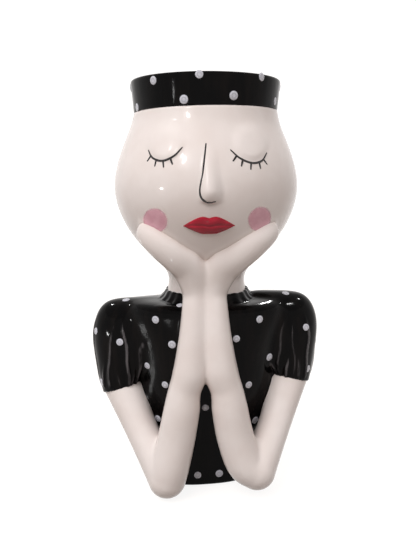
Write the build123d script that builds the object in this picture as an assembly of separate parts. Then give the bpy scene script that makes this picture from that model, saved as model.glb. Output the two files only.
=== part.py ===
from build123d import *
import math
import os

# A glazed ceramic head planter: a bald doll's head, open at the top, rests its chin on its hands.
# Sizes are millimetres. It stands on z = 0 and its face looks along -Y.
# Left and right are the viewer's, looking at the face. A rise is a height above the shoulders.

# Bodice, a hollow bust with elliptical sections
bodice_height = 121.5
base_half_width = 35.0
base_half_depth = 26.0
waist_height = 40.0
waist_half_width = 37.0
waist_half_depth = 29.0
bust_rise = -29.5
bust_half_width = 46.0
bust_half_depth = 35.0
shoulder_half_width = 57.0
shoulder_half_depth = 34.0
shoulder_round = 7.0
foot_round = 2.0
bodice_wall = 5.0
base_vent_radius = 9.0
base_vent_back = 11.0

# Collar, a short stand-up ring round the foot of the neck
collar_height = 6.0
collar_skirt = 3.0
collar_flare = 4.6
collar_edge = 1.2

# Head pot, turned outside profile, bowl and neck
neck_foot_radius = 26.4
neck_radius = 25.1
neck_rise = 14.5
chin_radius = 34.8
chin_rise = 27.5
jaw_radius = 46.0
jaw_rise = 39.7
head_radius = 58.2
head_rise = 70.5
temple_radius = 51.2
temple_drop = 18.3
mouth_radius = 45.0
mouth_rise = 118.5
mouth_lean = 0.12
head_wall = 4.5
neck_wall = 4.2
bowl_floor_rise = 28.0
bowl_floor_thickness = 6.0
bowl_floor_round = 4.0
drain_radius = 6.0

# Rim band, the flared ring on the mouth
band_height = 18.7
band_flare = 1.9
band_lip_round = 1.8

# Nose, a low relief wedge on the face
nose_top_rise = 97.5
nose_tip_rise = 72.0
nose_foot_rise = 66.5
nose_half_width = 5.0
nose_depth = 5.0
nose_bridge_half_width = 1.6
nose_bridge_depth = 1.4
nose_foot_half_width = 3.6
nose_foot_depth = 2.6

# Painted face
paint_thickness = 0.3
line_width = 0.9
eye_centre_x = 24.3
eye_rise = 94.5
eye_half_width = 10.9
eye_sag = 6.5
lash_length = 4.2
lash_count = 5
lash_fan = 112.0
nose_line_offset = 5.0
lip_half_width = 14.6
lip_rise = 51.5
lip_peak_x = 4.0
lip_peak = 5.2
lip_bow = 4.0
lip_drop = 5.0
lip_depth = 2.6
lip_dome_margin = 3.0
lip_dome_depth = 7.8
lip_dome_half_height = 11.0
blush_radius = 7.4
blush_x = 30.7
blush_rise = 54.5

# Sleeves, puffed caps on the shoulders
sleeve_radius = 18.5
sleeve_widest_rise = -28.0
sleeve_back = 3.0
sleeve_top_rise = 1.0
sleeve_wall = 6.0
hem_rise = -57.5
hem_lean = 2.4
hem_wall = 1.9
hem_inset = 1.7
hem_forward = 7.0
hem_side_tilt = 12.0
hem_tilt_lean = 3.5
hem_front_tilt = 11.0
sleeve_vent_radius = 1.5
shoulder_lean = 1.6

# Arms, solid castings from the sleeves over the elbows to the hands
forearm_seam_x = -2.2
forearm_press = 1.5
upper_arm_radius = 12.0
spigot_length = 9.0
elbow_radius = 13.0
elbow_inset = 0.6
forearm_inset = 1.5
elbow_centre_x = 1.0
elbow_spread = 29.0
elbow_clear = 3.3
elbow_forward = 16.0
elbow_lean = 2.1
forearm_low_radius = 12.0
forearm_low_gap = 6.6
forearm_low_forward = 12.0
forearm_part_radius = 11.2
forearm_part_gap = 3.4
forearm_part_forward = 6.0
forearm_mid_rise = -40.0
forearm_mid_radius = 10.5
forearm_mid_forward = 5.0
forearm_top_rise = -16.5
forearm_top_radius = 8.0
forearm_top_forward = 3.0
wrist_radius = 7.0
wrist_rise = 10.5
wrist_forward = 8.5

# Hand sections on the jaw: turn from the front, rise, stand-off from the head, half width, half depth
hand_heel = (15.0, 25.5, 6.5, 11.0, 7.5)
hand_palm = (31.0, 36.8, 4.4, 8.0, 6.3)
hand_fingers = (45.0, 45.0, 2.4, 5.8, 5.0)
hand_tip = (52.0, 49.0, 1.6, 3.4, 2.8)

# Raised enamel dots
dot_radius = 2.3
dot_proud = 0.45
dot_root = 2.5
rim_dot_edge = 4.0

# Turns of the rim dots from the front, to the right when positive
low_rim_dot_turns = (-66, -17, 19, 67, 112, 157, 202, 248)
high_rim_dot_turns = (-41, -6, 42, 88, 134, 180, 226, 272)

# Bodice dots on the front as a turn from the front and a share of the height; the back repeats them
bodice_dot_places = [
    (-54, 0.914), (-39, 0.798), (-68, 0.634), (-50, 0.543), (-67, 0.337), (-16, 0.058),
    (54, 0.914), (32, 0.823), (68, 0.658), (49, 0.551), (66, 0.313), (17, 0.066), (-3, 0.453),
]

# Sleeve dots as an outward turn from the front and a share of the sleeve from its hem
left_sleeve_dot_places = [(0, 0.54), (70, 0.62), (64, 0.17), (125, 0.41), (165, 0.71), (175, 0.24)]
right_sleeve_dot_places = [(28, 0.61), (46, 0.17), (95, 0.41), (120, 0.74), (160, 0.47), (150, 0.14)]
shoulder_dot_lean = 0.25

# Drain plug, a rubber stopper that lifts out through the mouth
plug_clearance = 0.1
plug_flange = 4.0
plug_flange_thickness = 2.5
plug_below = 2.0
plug_grip_radius = 4.0
plug_grip_waist = 2.4
plug_grip_height = 11.0

# Heights worked out from the sizes above
neck_top = bodice_height + bowl_floor_rise - bowl_floor_thickness
bowl_floor = bodice_height + bowl_floor_rise
mouth_height = bodice_height + mouth_rise
neck_bore_radius = min(neck_radius, neck_foot_radius) - neck_wall
mouth_bore_radius = mouth_radius - head_wall
hem_radius = upper_arm_radius + hem_wall
far = 2 * mouth_height


def upright(radius, low, high):
    """A cylinder on the Z axis between two heights."""
    return Pos(0, 0, low) * Cylinder(radius, high - low, align=(Align.CENTER, Align.CENTER, Align.MIN))


def turned(points, closing):
    """A solid turned about Z from a smooth outline of (radius, height) and straight closing edges."""
    outline = Spline(
        *[(radius, 0, height) for radius, height in points],
        tangents=closing["tangents"],
        tangent_scalars=(1, 1),
    )
    corners = [(radius, 0, height) for radius, height in closing["corners"]]
    return revolve(make_face([outline, Polyline(outline @ 1, *corners, outline @ 0)]), Axis.Z)


def head_form(grow):
    """The filled head and neck, grown outwards by the given amount."""
    points = [
        (neck_foot_radius + grow, bodice_height),
        (neck_radius + grow, bodice_height + neck_rise),
        (chin_radius + grow, bodice_height + chin_rise),
        (jaw_radius + grow, bodice_height + jaw_rise),
        (head_radius + grow, bodice_height + head_rise),
        (temple_radius + grow, mouth_height - temple_drop),
        (mouth_radius + grow, mouth_height),
    ]
    closing = {
        "tangents": [(0, 0, 1), (-mouth_lean, 0, 1)],
        "corners": [(0, mouth_height), (0, bodice_height)],
    }
    return turned(points, closing)


def outermost(solid, start, direction):
    """The last point where a ray leaves a solid, and the surface normal there."""
    ray = Axis(start, direction)
    hits = solid.find_intersection_points(ray)
    return max(hits, key=lambda hit: (hit[0] - ray.position).dot(ray.direction))


def around(turn):
    """The level direction that is turned from the front, to the right when positive."""
    return Vector(math.sin(math.radians(turn)), -math.cos(math.radians(turn)), 0)


def ellipse_at(height, half_width, half_depth, y=0.0):
    return Pos(0, y, height) * Ellipse(half_width, half_depth)


def bodice_form(inset):
    """The bust with its flat shoulder top, or its hollow when it is inset."""
    return loft([
        ellipse_at(inset, base_half_width - inset, base_half_depth - inset),
        ellipse_at(waist_height, waist_half_width - inset, waist_half_depth - inset),
        ellipse_at(bodice_height + bust_rise, bust_half_width - inset, bust_half_depth - inset),
        ellipse_at(bodice_height - inset, shoulder_half_width - inset, shoulder_half_depth - inset),
    ])


def rounded_bodice():
    bust = bodice_form(0)
    bust = fillet(bust.edges().group_by(Axis.Z)[-1], shoulder_round)
    return fillet(bust.edges().group_by(Axis.Z)[0], foot_round)


def nose_form(head, grow):
    """The nose as a loft of level ellipses on the front of the head."""
    sections = [
        (nose_foot_rise - grow, nose_foot_half_width + grow, nose_foot_depth + grow),
        (nose_tip_rise, nose_half_width + grow, nose_depth + grow),
        (nose_top_rise + grow, nose_bridge_half_width + grow, nose_bridge_depth + grow),
    ]
    slices = []
    for rise, half_width, half_depth in sections:
        height = bodice_height + rise
        front, _ = outermost(head, (0, 0, height), around(0))
        slices.append(ellipse_at(height, half_width, half_depth, front.Y))
    return loft(slices)


head_solid = head_form(0)
face_solid = head_solid + nose_form(head_solid, 0)
face_paint = head_form(paint_thickness) + nose_form(head_solid, paint_thickness)
bodice_solid = rounded_bodice()


def collar_ring():
    neck, _ = outermost(head_solid, (0, 0, bodice_height + collar_height), around(0))
    foot = neck_foot_radius + collar_flare
    top = abs(neck.Y) + collar_edge
    section = Polyline(
        (0, 0, bodice_height - collar_skirt),
        (foot, 0, bodice_height - collar_skirt),
        (foot, 0, bodice_height),
        (top, 0, bodice_height + collar_height),
        (0, 0, bodice_height + collar_height),
        close=True,
    )
    return revolve(make_face(section), Axis.Z) - head_solid - bodice_solid


def head_pot():
    """The head with its planting bowl, drain hole and hollow neck."""
    bowl = head_form(-head_wall) & upright(head_radius, bowl_floor, mouth_height)
    bowl = fillet(bowl.edges().group_by(Axis.Z)[0], bowl_floor_round)
    neck_bore = upright(neck_bore_radius, bodice_height, neck_top)
    return face_solid - bowl - neck_bore - upright(drain_radius, neck_top, bowl_floor)


def rim_band():
    """The flared ring with a straight bore, rounded at its lip."""
    top = mouth_height + band_height
    section = Polyline(
        (mouth_bore_radius, 0, mouth_height),
        (mouth_radius, 0, mouth_height),
        (mouth_radius + band_flare, 0, top),
        (mouth_bore_radius, 0, top),
        close=True,
    )
    ring = revolve(make_face(section), Axis.Z)
    return fillet(ring.edges().group_by(Axis.Z)[-1], band_lip_round)


def bodice():
    """The bust shell with a neck opening, a vent in its floor and a pin vent into each sleeve."""
    shell = bodice_solid - bodice_form(bodice_wall)
    shell -= upright(neck_bore_radius, bodice_height - 2 * bodice_wall, bodice_height)
    shell -= Pos(0, base_vent_back) * upright(base_vent_radius, 0, 2 * bodice_wall)
    for side in (-1, 1):
        shell -= sleeve_vent(side)
    return shell


def shoulder_point(side):
    """The top of a sleeve's puff."""
    rise = sleeve_top_rise + side * shoulder_lean
    return Vector(side * shoulder_half_width, sleeve_back, bodice_height + rise)


def hem_point(side):
    """The centre of a sleeve's hem."""
    height = bodice_height + hem_rise + side * hem_lean
    return Vector(side * (shoulder_half_width - hem_inset), -hem_forward, height)


def hem_plane(side):
    """The hem's plane, facing up into the sleeve."""
    sideways = side * math.tan(math.radians(hem_side_tilt - side * hem_tilt_lean))
    backwards = math.tan(math.radians(hem_front_tilt))
    return Plane(hem_point(side), z_dir=(sideways, backwards, 1))


def sleeve_frame(side):
    hem = hem_point(side)
    return Plane(hem, x_dir=(1, 0, 0), z_dir=shoulder_point(side) - hem)


def sleeve_form(side, inset):
    """The puff of a sleeve, longer than its hem so that the hem plane can trim it."""
    length = (shoulder_point(side) - hem_point(side)).length
    widest = sleeve_widest_rise - hem_rise
    points = [
        (hem_radius - inset, -hem_radius),
        (hem_radius - inset, 0),
        (sleeve_radius - inset, widest),
        (0, length - inset),
    ]
    closing = {"tangents": [(0, 0, 1), (-1, 0, 0)], "corners": [(0, -hem_radius)]}
    return sleeve_frame(side).location * turned(points, closing)


def above(plane, height):
    """A large block that fills the space above a plane."""
    span = 2 * far
    block = Box(span, span, span, align=(Align.CENTER, Align.CENTER, Align.MIN))
    return plane.location * Pos(0, 0, height) * block


def sleeve_vent(side):
    """A pin hole that lets the air in a sleeve's hollow out into the bust."""
    start = shoulder_point(side) + Vector(0, -sleeve_back, sleeve_widest_rise)
    reach = 2 * sleeve_radius
    return Pos(start) * Rot(0, -90 * side, 0) * Cylinder(
        sleeve_vent_radius, reach, align=(Align.CENTER, Align.CENTER, Align.MIN))


def limb(stations):
    """Elliptical slices square to a path of (centre, outward direction, half width, half depth)."""
    slices = []
    for index, (centre, outward, half_width, half_depth) in enumerate(stations):
        before = stations[max(index - 1, 0)][0]
        after = stations[min(index + 1, len(stations) - 1)][0]
        along = (after - before).normalized()
        frame = Plane(centre, x_dir=along.cross(outward), z_dir=along)
        slices.append(frame * Ellipse(half_width, half_depth))
    return slices


def elbow_point(side):
    x = elbow_centre_x + side * elbow_spread
    height = elbow_radius + elbow_clear + side * elbow_lean
    return Vector(x, -(base_half_depth + elbow_forward), height)


def arm_form(side):
    """One arm as a filled casting, before its neighbours are cut away."""
    front = Vector(0, -1, 0)
    elbow = elbow_point(side)
    hem = hem_point(side)
    up_arm = (hem - elbow).normalized()
    upper_radius = elbow_radius - elbow_inset
    fore_radius = elbow_radius - forearm_inset
    touching = []
    for radius, y, rise in (
        (forearm_mid_radius, -(bust_half_depth + forearm_mid_forward), forearm_mid_rise),
        (forearm_top_radius, -(bust_half_depth + forearm_top_forward), forearm_top_rise),
        (wrist_radius, -(neck_radius + wrist_forward), wrist_rise),
    ):
        x = forearm_seam_x + side * (radius - forearm_press)
        touching.append((Vector(x, y, bodice_height + rise), front, radius, radius))
    apart = []
    for radius, gap, y, height in (
        (forearm_low_radius, forearm_low_gap, -(waist_half_depth + forearm_low_forward), waist_height),
        (forearm_part_radius, forearm_part_gap, -(bust_half_depth + forearm_part_forward),
         (waist_height + bodice_height + forearm_mid_rise) / 2),
    ):
        x = forearm_seam_x + side * (radius + gap)
        apart.append((Vector(x, y, height), front, radius, radius))
    hand = []
    for turn, rise, standoff, half_width, half_depth in (hand_heel, hand_palm, hand_fingers, hand_tip):
        outward = around(side * turn)
        skin, _ = outermost(head_solid, (0, 0, bodice_height + rise), outward)
        shift = Vector(forearm_seam_x * (1 - turn / hand_tip[0]), 0, 0)
        hand.append((skin + outward * standoff + shift, outward, half_width, half_depth))
    forearm = [(elbow, front, fore_radius, fore_radius), *apart, *touching]
    slices = limb(forearm + hand)
    wrist = len(forearm) - 1
    upper = limb([
        (elbow, front, upper_radius, upper_radius),
        (hem, front, upper_arm_radius, upper_arm_radius),
        (hem + up_arm * spigot_length, front, upper_arm_radius, upper_arm_radius),
    ])
    ball = Pos(elbow) * Sphere(elbow_radius)
    return ball + loft(upper) + loft(slices[:wrist + 1]) + loft(slices[wrist:])


def arm(side, collar):
    """An arm trimmed to meet the head, the bust, the collar and the other forearm."""
    seam = Plane((forearm_seam_x, 0, 0), z_dir=(side, 0, 0))
    return (arm_form(side) & above(seam, 0)) - head_solid - bodice_solid - collar


def sleeve(side, arm_solid):
    """A sleeve shell that is trimmed at its hem and takes the arm's upper end."""
    puff = sleeve_form(side, 0) & above(hem_plane(side), 0)
    hollow = sleeve_form(side, sleeve_wall) & above(hem_plane(side), spigot_length)
    return puff - bodice_solid - arm_solid - hollow - sleeve_vent(side)


def painted(sketch):
    """A thin coat of paint on the face where a front view sketch falls on it."""
    return (extrude(Plane.XZ * sketch, amount=far) & face_paint) - face_solid


def stroke(line):
    return trace(line, line_width)


def lashes(side):
    """A closed eye: a hanging arc with lashes that fan out below it."""
    radius = (eye_half_width ** 2 + eye_sag ** 2) / (2 * eye_sag)
    centre = Vector(side * eye_centre_x, bodice_height + eye_rise + radius - eye_sag)
    left = Vector(side * eye_centre_x - eye_half_width, bodice_height + eye_rise)
    right = left + Vector(2 * eye_half_width, 0)
    sketch = stroke(ThreePointArc(left, centre - Vector(0, radius), right))
    for index in range(lash_count):
        turn = math.radians(lash_fan * (index / (lash_count - 1) - 0.5))
        outwards = Vector(math.sin(turn), -math.cos(turn))
        root = centre + outwards * radius
        sketch += stroke(Line(root, root + outwards * lash_length))
    return painted(sketch)


def nose_line():
    """A single brush line down the left flank of the nose that curls under its tip."""
    foot = bodice_height + nose_foot_rise
    bend = (-nose_line_offset, bodice_height + nose_tip_rise)
    flank = Line((-nose_bridge_half_width, bodice_height + nose_top_rise), bend)
    curl = ThreePointArc(bend, (-nose_bridge_half_width, foot), (nose_foot_half_width, foot + line_width))
    return painted(stroke(flank) + stroke(curl))


def lips():
    """Raised lips with a bow, a soft dome trimmed to their outline."""
    height = bodice_height + lip_rise
    upper = Spline(
        (-lip_half_width, height),
        (-lip_peak_x, height + lip_peak),
        (0, height + lip_bow),
        (lip_peak_x, height + lip_peak),
        (lip_half_width, height),
    )
    lower = ThreePointArc((lip_half_width, height), (0, height - lip_drop), (-lip_half_width, height))
    front, _ = outermost(head_solid, (0, 0, height), around(0))
    size = (lip_half_width + lip_dome_margin, lip_dome_depth, lip_dome_half_height)
    dome = Pos(0, front.Y, height) * scale(Sphere(1), by=size)
    outline = extrude(Plane.XZ * make_face([upper, lower]), amount=far)
    return (outline & dome & head_form(lip_depth)) - head_solid


def blush(side, arms):
    spot = Pos(side * blush_x, bodice_height + blush_rise) * Circle(blush_radius)
    return painted(spot) - arms


def dot(host, start, direction):
    """One raised dot where a ray leaves its host."""
    place, normal = outermost(host, start, direction)
    if normal.dot(Vector(direction)) < 0:
        normal = normal * -1
    disc = Cylinder(dot_radius, dot_root + dot_proud, align=(Align.CENTER, Align.CENTER, Align.MIN))
    return Plane(place - normal * dot_root, z_dir=normal).location * disc - host


def showing(dots, neighbours):
    """The dots as far as the pieces over them leave them bare."""
    return Compound(children=dots).cut(*neighbours)


def rim_dots(band):
    """Two staggered rows of dots round the rim band."""
    low = mouth_height + rim_dot_edge
    high = mouth_height + band_height - rim_dot_edge
    dots = []
    for height, turns in ((low, low_rim_dot_turns), (high, high_rim_dot_turns)):
        for turn in turns:
            dots.append(dot(band, (0, 0, height), around(turn)))
    return dots


def bodice_dots():
    """Scattered dots on the front of the bust, and the same on its back."""
    dots = []
    for turn, share in bodice_dot_places:
        for half_turn in (0, 180):
            dots.append(dot(bodice_solid, (0, 0, share * bodice_height), around(turn + half_turn)))
    return dots


def sleeve_dots(side, places):
    """Dots round one sleeve and one on top of its shoulder."""
    puff = sleeve_form(side, 0)
    frame = sleeve_frame(side)
    length = (shoulder_point(side) - hem_point(side)).length
    middle = frame.from_local_coords(Vector(0, 0, sleeve_widest_rise - hem_rise))
    dots = [dot(puff, middle, (0, -shoulder_dot_lean, 1))]
    for turn, share in places:
        start = frame.from_local_coords(Vector(0, 0, share * length))
        dots.append(dot(puff, start, around(side * turn)))
    return dots


def drain_plug():
    """A turned rubber stopper: stem in the drain hole, flange on the bowl floor and a grip."""
    stem = drain_radius - plug_clearance
    flange = drain_radius + plug_flange
    flange_top = bowl_floor + plug_flange_thickness
    top = bowl_floor + plug_grip_height
    section = Polyline(
        (0, 0, neck_top - plug_below),
        (stem, 0, neck_top - plug_below),
        (stem, 0, bowl_floor),
        (flange, 0, bowl_floor),
        (flange, 0, flange_top),
        (plug_grip_waist, 0, flange_top),
        (plug_grip_waist, 0, top - plug_grip_radius),
        (plug_grip_radius, 0, top - plug_grip_waist),
        (plug_grip_radius, 0, top),
        (0, 0, top),
        close=True,
    )
    return revolve(make_face(section), Axis.Z)


def main():
    os.makedirs("parts", exist_ok=True)
    collar = collar_ring()
    band = rim_band()
    arms = [arm(-1, collar), arm(1, collar)]
    sleeves = [sleeve(-1, arms[0]), sleeve(1, arms[1])]
    nodes = {
        "head_pot": head_pot(),
        "rim_band": band,
        "collar": collar,
        "bodice": bodice(),
        "left_arm": arms[0],
        "right_arm": arms[1],
        "left_sleeve": sleeves[0],
        "right_sleeve": sleeves[1],
        "lips": lips(),
        "nose_line": nose_line(),
        "left_lashes": lashes(-1),
        "right_lashes": lashes(1),
        "left_blush": blush(-1, arms[0]),
        "right_blush": blush(1, arms[1]),
        "rim_dots": Compound(children=rim_dots(band)),
        "bodice_dots": showing(bodice_dots(), arms + sleeves + [collar]),
        "left_sleeve_dots": showing(sleeve_dots(-1, left_sleeve_dot_places), [arms[0], bodice_solid]),
        "right_sleeve_dots": showing(sleeve_dots(1, right_sleeve_dot_places), [arms[1], bodice_solid]),
        "drain_plug": drain_plug(),
    }
    for name, shape in nodes.items():
        print(name, [round(solid.volume, 1) for solid in shape.solids()], shape.is_valid)
        export_step(shape, f"parts/{name}.step")


if __name__ == "__main__":
    main()
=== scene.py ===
# %% [markdown]
# A glazed ceramic head planter
#
# This lesson dresses a head planter: a bald doll's head, open at the top, that rests its chin on its hands.
# The construction model gives the sizes. Here each piece is modelled again as fired clay under glaze, with
# soft seams, relief and brush work, and then gets its finish. Lengths are metres. The face looks along -Y.

# %% Load the frame
import bmesh
import bpy
import math
from mathutils import Matrix, Vector
from mathutils.bvhtree import BVHTree


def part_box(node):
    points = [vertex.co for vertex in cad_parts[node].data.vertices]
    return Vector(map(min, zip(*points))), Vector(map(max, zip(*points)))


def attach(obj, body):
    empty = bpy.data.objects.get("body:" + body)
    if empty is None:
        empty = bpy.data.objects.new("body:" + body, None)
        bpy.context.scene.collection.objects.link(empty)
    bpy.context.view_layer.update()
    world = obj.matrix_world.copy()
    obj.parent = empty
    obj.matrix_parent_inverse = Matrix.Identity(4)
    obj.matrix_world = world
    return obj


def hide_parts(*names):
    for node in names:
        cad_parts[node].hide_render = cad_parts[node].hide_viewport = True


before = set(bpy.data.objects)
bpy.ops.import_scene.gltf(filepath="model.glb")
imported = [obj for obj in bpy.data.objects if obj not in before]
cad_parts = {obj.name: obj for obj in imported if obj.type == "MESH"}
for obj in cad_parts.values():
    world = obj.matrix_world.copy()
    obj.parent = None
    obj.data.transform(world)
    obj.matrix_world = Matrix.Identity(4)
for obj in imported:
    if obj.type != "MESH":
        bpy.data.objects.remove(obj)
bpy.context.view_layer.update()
MM = 0.001
UP = Vector((0, 0, 1))
FRONT = Vector((0, -1, 0))
RIGHT = Vector((1, 0, 0))
SIDES = {-1: "left", 1: "right"}
shoulder_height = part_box("bodice")[1].z
mouth_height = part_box("head_pot")[1].z
rim_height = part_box("rim_band")[1].z

# %% [markdown]
# The camera comes first, because every later choice is judged through it. A plain camera object is enough:
# its place and tilt were worked out from the ellipses of the rim and the heights of the face and elbows.
# Its lens is given as a focal length in pixels of the picture, which is easier to measure than millimetres.

# %% Camera
PICTURE_WIDTH = 416
PICTURE_HEIGHT = 555
FOCAL_PIXELS = 600
camera_place = Vector((-12.5, -391.4, 207.5)) * MM
camera_turn = [math.radians(79.38), math.radians(0.3), math.radians(-2.03)]
bpy.ops.object.camera_add(location=camera_place, rotation=camera_turn)
camera = bpy.context.object
camera.name = "camera"
camera.data.sensor_fit = "HORIZONTAL"
camera.data.lens = FOCAL_PIXELS / PICTURE_WIDTH * camera.data.sensor_width
bpy.context.scene.camera = camera
bpy.context.view_layer.update()


def sight(across, down):
    """The direction from the camera through a point of the picture."""
    local = Vector((across - PICTURE_WIDTH / 2, PICTURE_HEIGHT / 2 - down, -FOCAL_PIXELS))
    return (camera.matrix_world.to_3x3() @ local).normalized()


print("lens", round(camera.data.lens, 2), "mm")

# %% [markdown]
# A few helpers do most of the modelling. Each step starts with nothing selected, names what it made, and
# applies its modifiers at once, so that the next step works on plain mesh.

# %% First helpers
def begin():
    """Nothing stays selected from the step before."""
    bpy.ops.object.select_all(action="DESELECT")


def take_name(name):
    piece = bpy.context.object
    piece.name = name
    piece.data.name = name
    return piece


def pick(piece):
    """Makes one piece the only selected and active one."""
    begin()
    piece.select_set(True)
    bpy.context.view_layer.objects.active = piece


def apply(piece, kind, **settings):
    """Adds a modifier with these settings and applies it."""
    pick(piece)
    modifier = piece.modifiers.new(kind.title(), kind)
    for key, value in settings.items():
        setattr(modifier, key, value)
    bpy.ops.object.modifier_apply(modifier=modifier.name)


# %% [markdown]
# A turned piece starts as one vertex that is pulled along an outline and then spun about the upright axis,
# as on a wheel. A Screw modifier could turn it too, but spin leaves plain mesh whose seam is merged at once.

# %% Turning on the wheel
SEAM_MERGE = 0.00001


def close_seams():
    """Merges doubles and turns all faces outwards, in edit mode."""
    bpy.ops.mesh.select_all(action="SELECT")
    bpy.ops.mesh.remove_doubles(threshold=SEAM_MERGE)
    bpy.ops.mesh.normals_make_consistent(inside=False)


def turn_outline(name, outline, steps):
    """Pulls one vertex along an outline of (radius, height) and spins the line about the upright axis."""
    begin()
    bpy.ops.mesh.primitive_circle_add(vertices=3, radius=MM)
    piece = take_name(name)
    bpy.ops.object.mode_set(mode="EDIT")
    bpy.ops.mesh.select_all(action="SELECT")
    bpy.ops.mesh.merge(type="CENTER")
    place = outline[0]
    bpy.ops.transform.translate(value=(place[0], 0, place[1]))
    for radius, height in outline[1:]:
        step = (radius - place[0], 0, height - place[1])
        bpy.ops.mesh.extrude_vertices_move(TRANSFORM_OT_translate={"value": step})
        place = (radius, height)
    bpy.ops.mesh.select_all(action="SELECT")
    bpy.ops.mesh.spin(steps=steps, angle=math.tau, center=(0, 0, 0), axis=(0, 0, 1))
    close_seams()
    bpy.ops.object.mode_set(mode="OBJECT")
    return piece


# %% [markdown]
# A limb is a ring that is pulled from station to station, as a handle is pulled from clay. A curve with a
# bevel keeps one section, but here each station has its own width, depth and facing. A smooth curve through
# a few stations fills in as many rings as the piece needs.

# %% Pulling a limb
def smooth_path(points, count):
    """Points at even shares along a smooth curve through the given ones."""
    padded = [2 * points[0] - points[1], *points, 2 * points[-1] - points[-2]]
    path = []
    for index in range(count):
        share = index / (count - 1) * (len(points) - 1)
        start = min(int(share), len(points) - 2)
        step = share - start
        p0, p1, p2, p3 = padded[start:start + 4]
        bend = (2 * p0 - 5 * p1 + 4 * p2 - p3) * step ** 2 + (3 * p1 - p0 - 3 * p2 + p3) * step ** 3
        path.append((2 * p1 + (p2 - p0) * step + bend) / 2)
    return path


def fill_in(stations, count):
    """More stations along a smooth curve through the given ones."""
    rows = [Vector((*centre, *facing, wide, deep)) for centre, facing, wide, deep in stations]
    return [(Vector(row[:3]), Vector(row[3:6]), row[6], row[7]) for row in smooth_path(rows, count)]


def station_frame(stations, index):
    """The frame of one ring: square to the path, with its depth towards the facing direction."""
    centre, facing, half_width, half_depth = stations[index]
    before = stations[max(index - 1, 0)][0]
    after = stations[min(index + 1, len(stations) - 1)][0]
    along = (after - before).normalized()
    across = along.cross(facing).normalized()
    depth = along.cross(across)
    axes = Matrix((across * half_width, depth * half_depth, along * MM)).transposed()
    return Matrix.Translation(centre) @ axes.to_4x4()


def pull_limb(name, stations, sides):
    """Pulls a closed ring through stations of (centre, facing, half width, half depth)."""
    begin()
    bpy.ops.mesh.primitive_circle_add(vertices=sides, radius=1, fill_type="NGON")
    piece = take_name(name)
    bpy.ops.object.mode_set(mode="EDIT")
    frames = [station_frame(stations, index) for index in range(len(stations))]
    for index, place in enumerate(frames):
        move = place
        if index:
            bpy.ops.mesh.extrude_region_move()
            move = place @ frames[index - 1].inverted()
        mesh = bmesh.from_edit_mesh(piece.data)
        ring = [vertex for vertex in mesh.verts if vertex.select]
        bmesh.ops.transform(mesh, matrix=move, verts=ring)
        bmesh.update_edit_mesh(piece.data)
    close_seams()
    bpy.ops.object.mode_set(mode="OBJECT")
    return piece


# %% [markdown]
# Pieces are joined as by hand, and most come in a left and a right one. A search tree over a finished
# surface tells where paint and dots sit: a Shrinkwrap modifier would do it for a whole piece, but not for
# one point.

# %% Joining and looking up
def join(name, pieces):
    begin()
    for piece in pieces:
        piece.select_set(True)
    bpy.context.view_layer.objects.active = pieces[0]
    bpy.ops.object.join()
    return take_name(name)


def both(make, ending):
    """Makes the left and the right one of a pair."""
    return {side: make(side, word + ending) for side, word in SIDES.items()}


def skin_of(piece):
    """A search tree over a piece's faces, to find where its surface lies."""
    mesh = piece.data
    corners = [vertex.co for vertex in mesh.vertices]
    return BVHTree.FromPolygons(corners, [face.vertices for face in mesh.polygons])


def smoothstep(low, high, value):
    share = min(max((value - low) / (high - low), 0), 1)
    return share * share * (3 - 2 * share)


def rise(millimetres):
    """A height above the shoulders."""
    return shoulder_height + millimetres * MM


# %% [markdown]
# The set is a light tent: a paper floor that curves up into a wall all round. A sheet with one bend would do
# for one view, but the others would look past its edge. So the tent is turned as well: a flat run, a quarter
# round and a low wall.

# %% Light tent
TENT_FLAT = 2.2
TENT_BEND = 0.7
TENT_TOP = 2.0
TENT_STEPS = 96
BEND_POINTS = 10
outline = [(0, 0)]
for index in range(BEND_POINTS + 1):
    turn = math.pi / 2 * index / BEND_POINTS
    outline.append((TENT_FLAT + TENT_BEND * math.sin(turn), TENT_BEND * (1 - math.cos(turn))))
outline.append((TENT_FLAT + TENT_BEND, TENT_TOP))
floor = turn_outline("floor", outline, TENT_STEPS)
bpy.ops.object.shade_smooth()
print("floor", len(floor.data.polygons), "faces")

# %% [markdown]
# The head is a slip casting with an even wall: outside profile, bowl, drain hole and hollow neck. A sphere
# could be pushed into shape, but a pot is honest as a turned piece. Rays against the construction model
# measure its outside at many heights, and the closed outline is spun in one go.

# %% Head outline
HEAD_STEPS = 176
OUTER_POINTS = 58
BOWL_POINTS = 22
CORNER = 0.35 * MM
RAY_TURN = math.radians(10)
FAR = 0.3
NECK_LEVEL = rise(10)
BOWL_LEVEL = rise(60)
BORE_INSET = 2 * MM
BOWL_CROWD = 1.4
FLOOR_SHARES = (1, 0.7, 0.4)
head_skin = skin_of(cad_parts["head_pot"])
ray_side = Vector((math.cos(RAY_TURN), math.sin(RAY_TURN), 0))


def outer_radius(height):
    place = head_skin.ray_cast(ray_side * FAR + UP * height, -ray_side)[0]
    return place.xy.length


def inner_radius(height):
    place = head_skin.ray_cast(UP * height, ray_side)[0]
    return place.xy.length


def ceiling(radius, height):
    """The height of the first surface above a point in the head."""
    return head_skin.ray_cast(ray_side * radius + UP * height, UP)[0].z


def ground(radius, height):
    """The height of the first surface below a point in the head."""
    return head_skin.ray_cast(ray_side * radius + UP * height, -UP)[0].z


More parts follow.
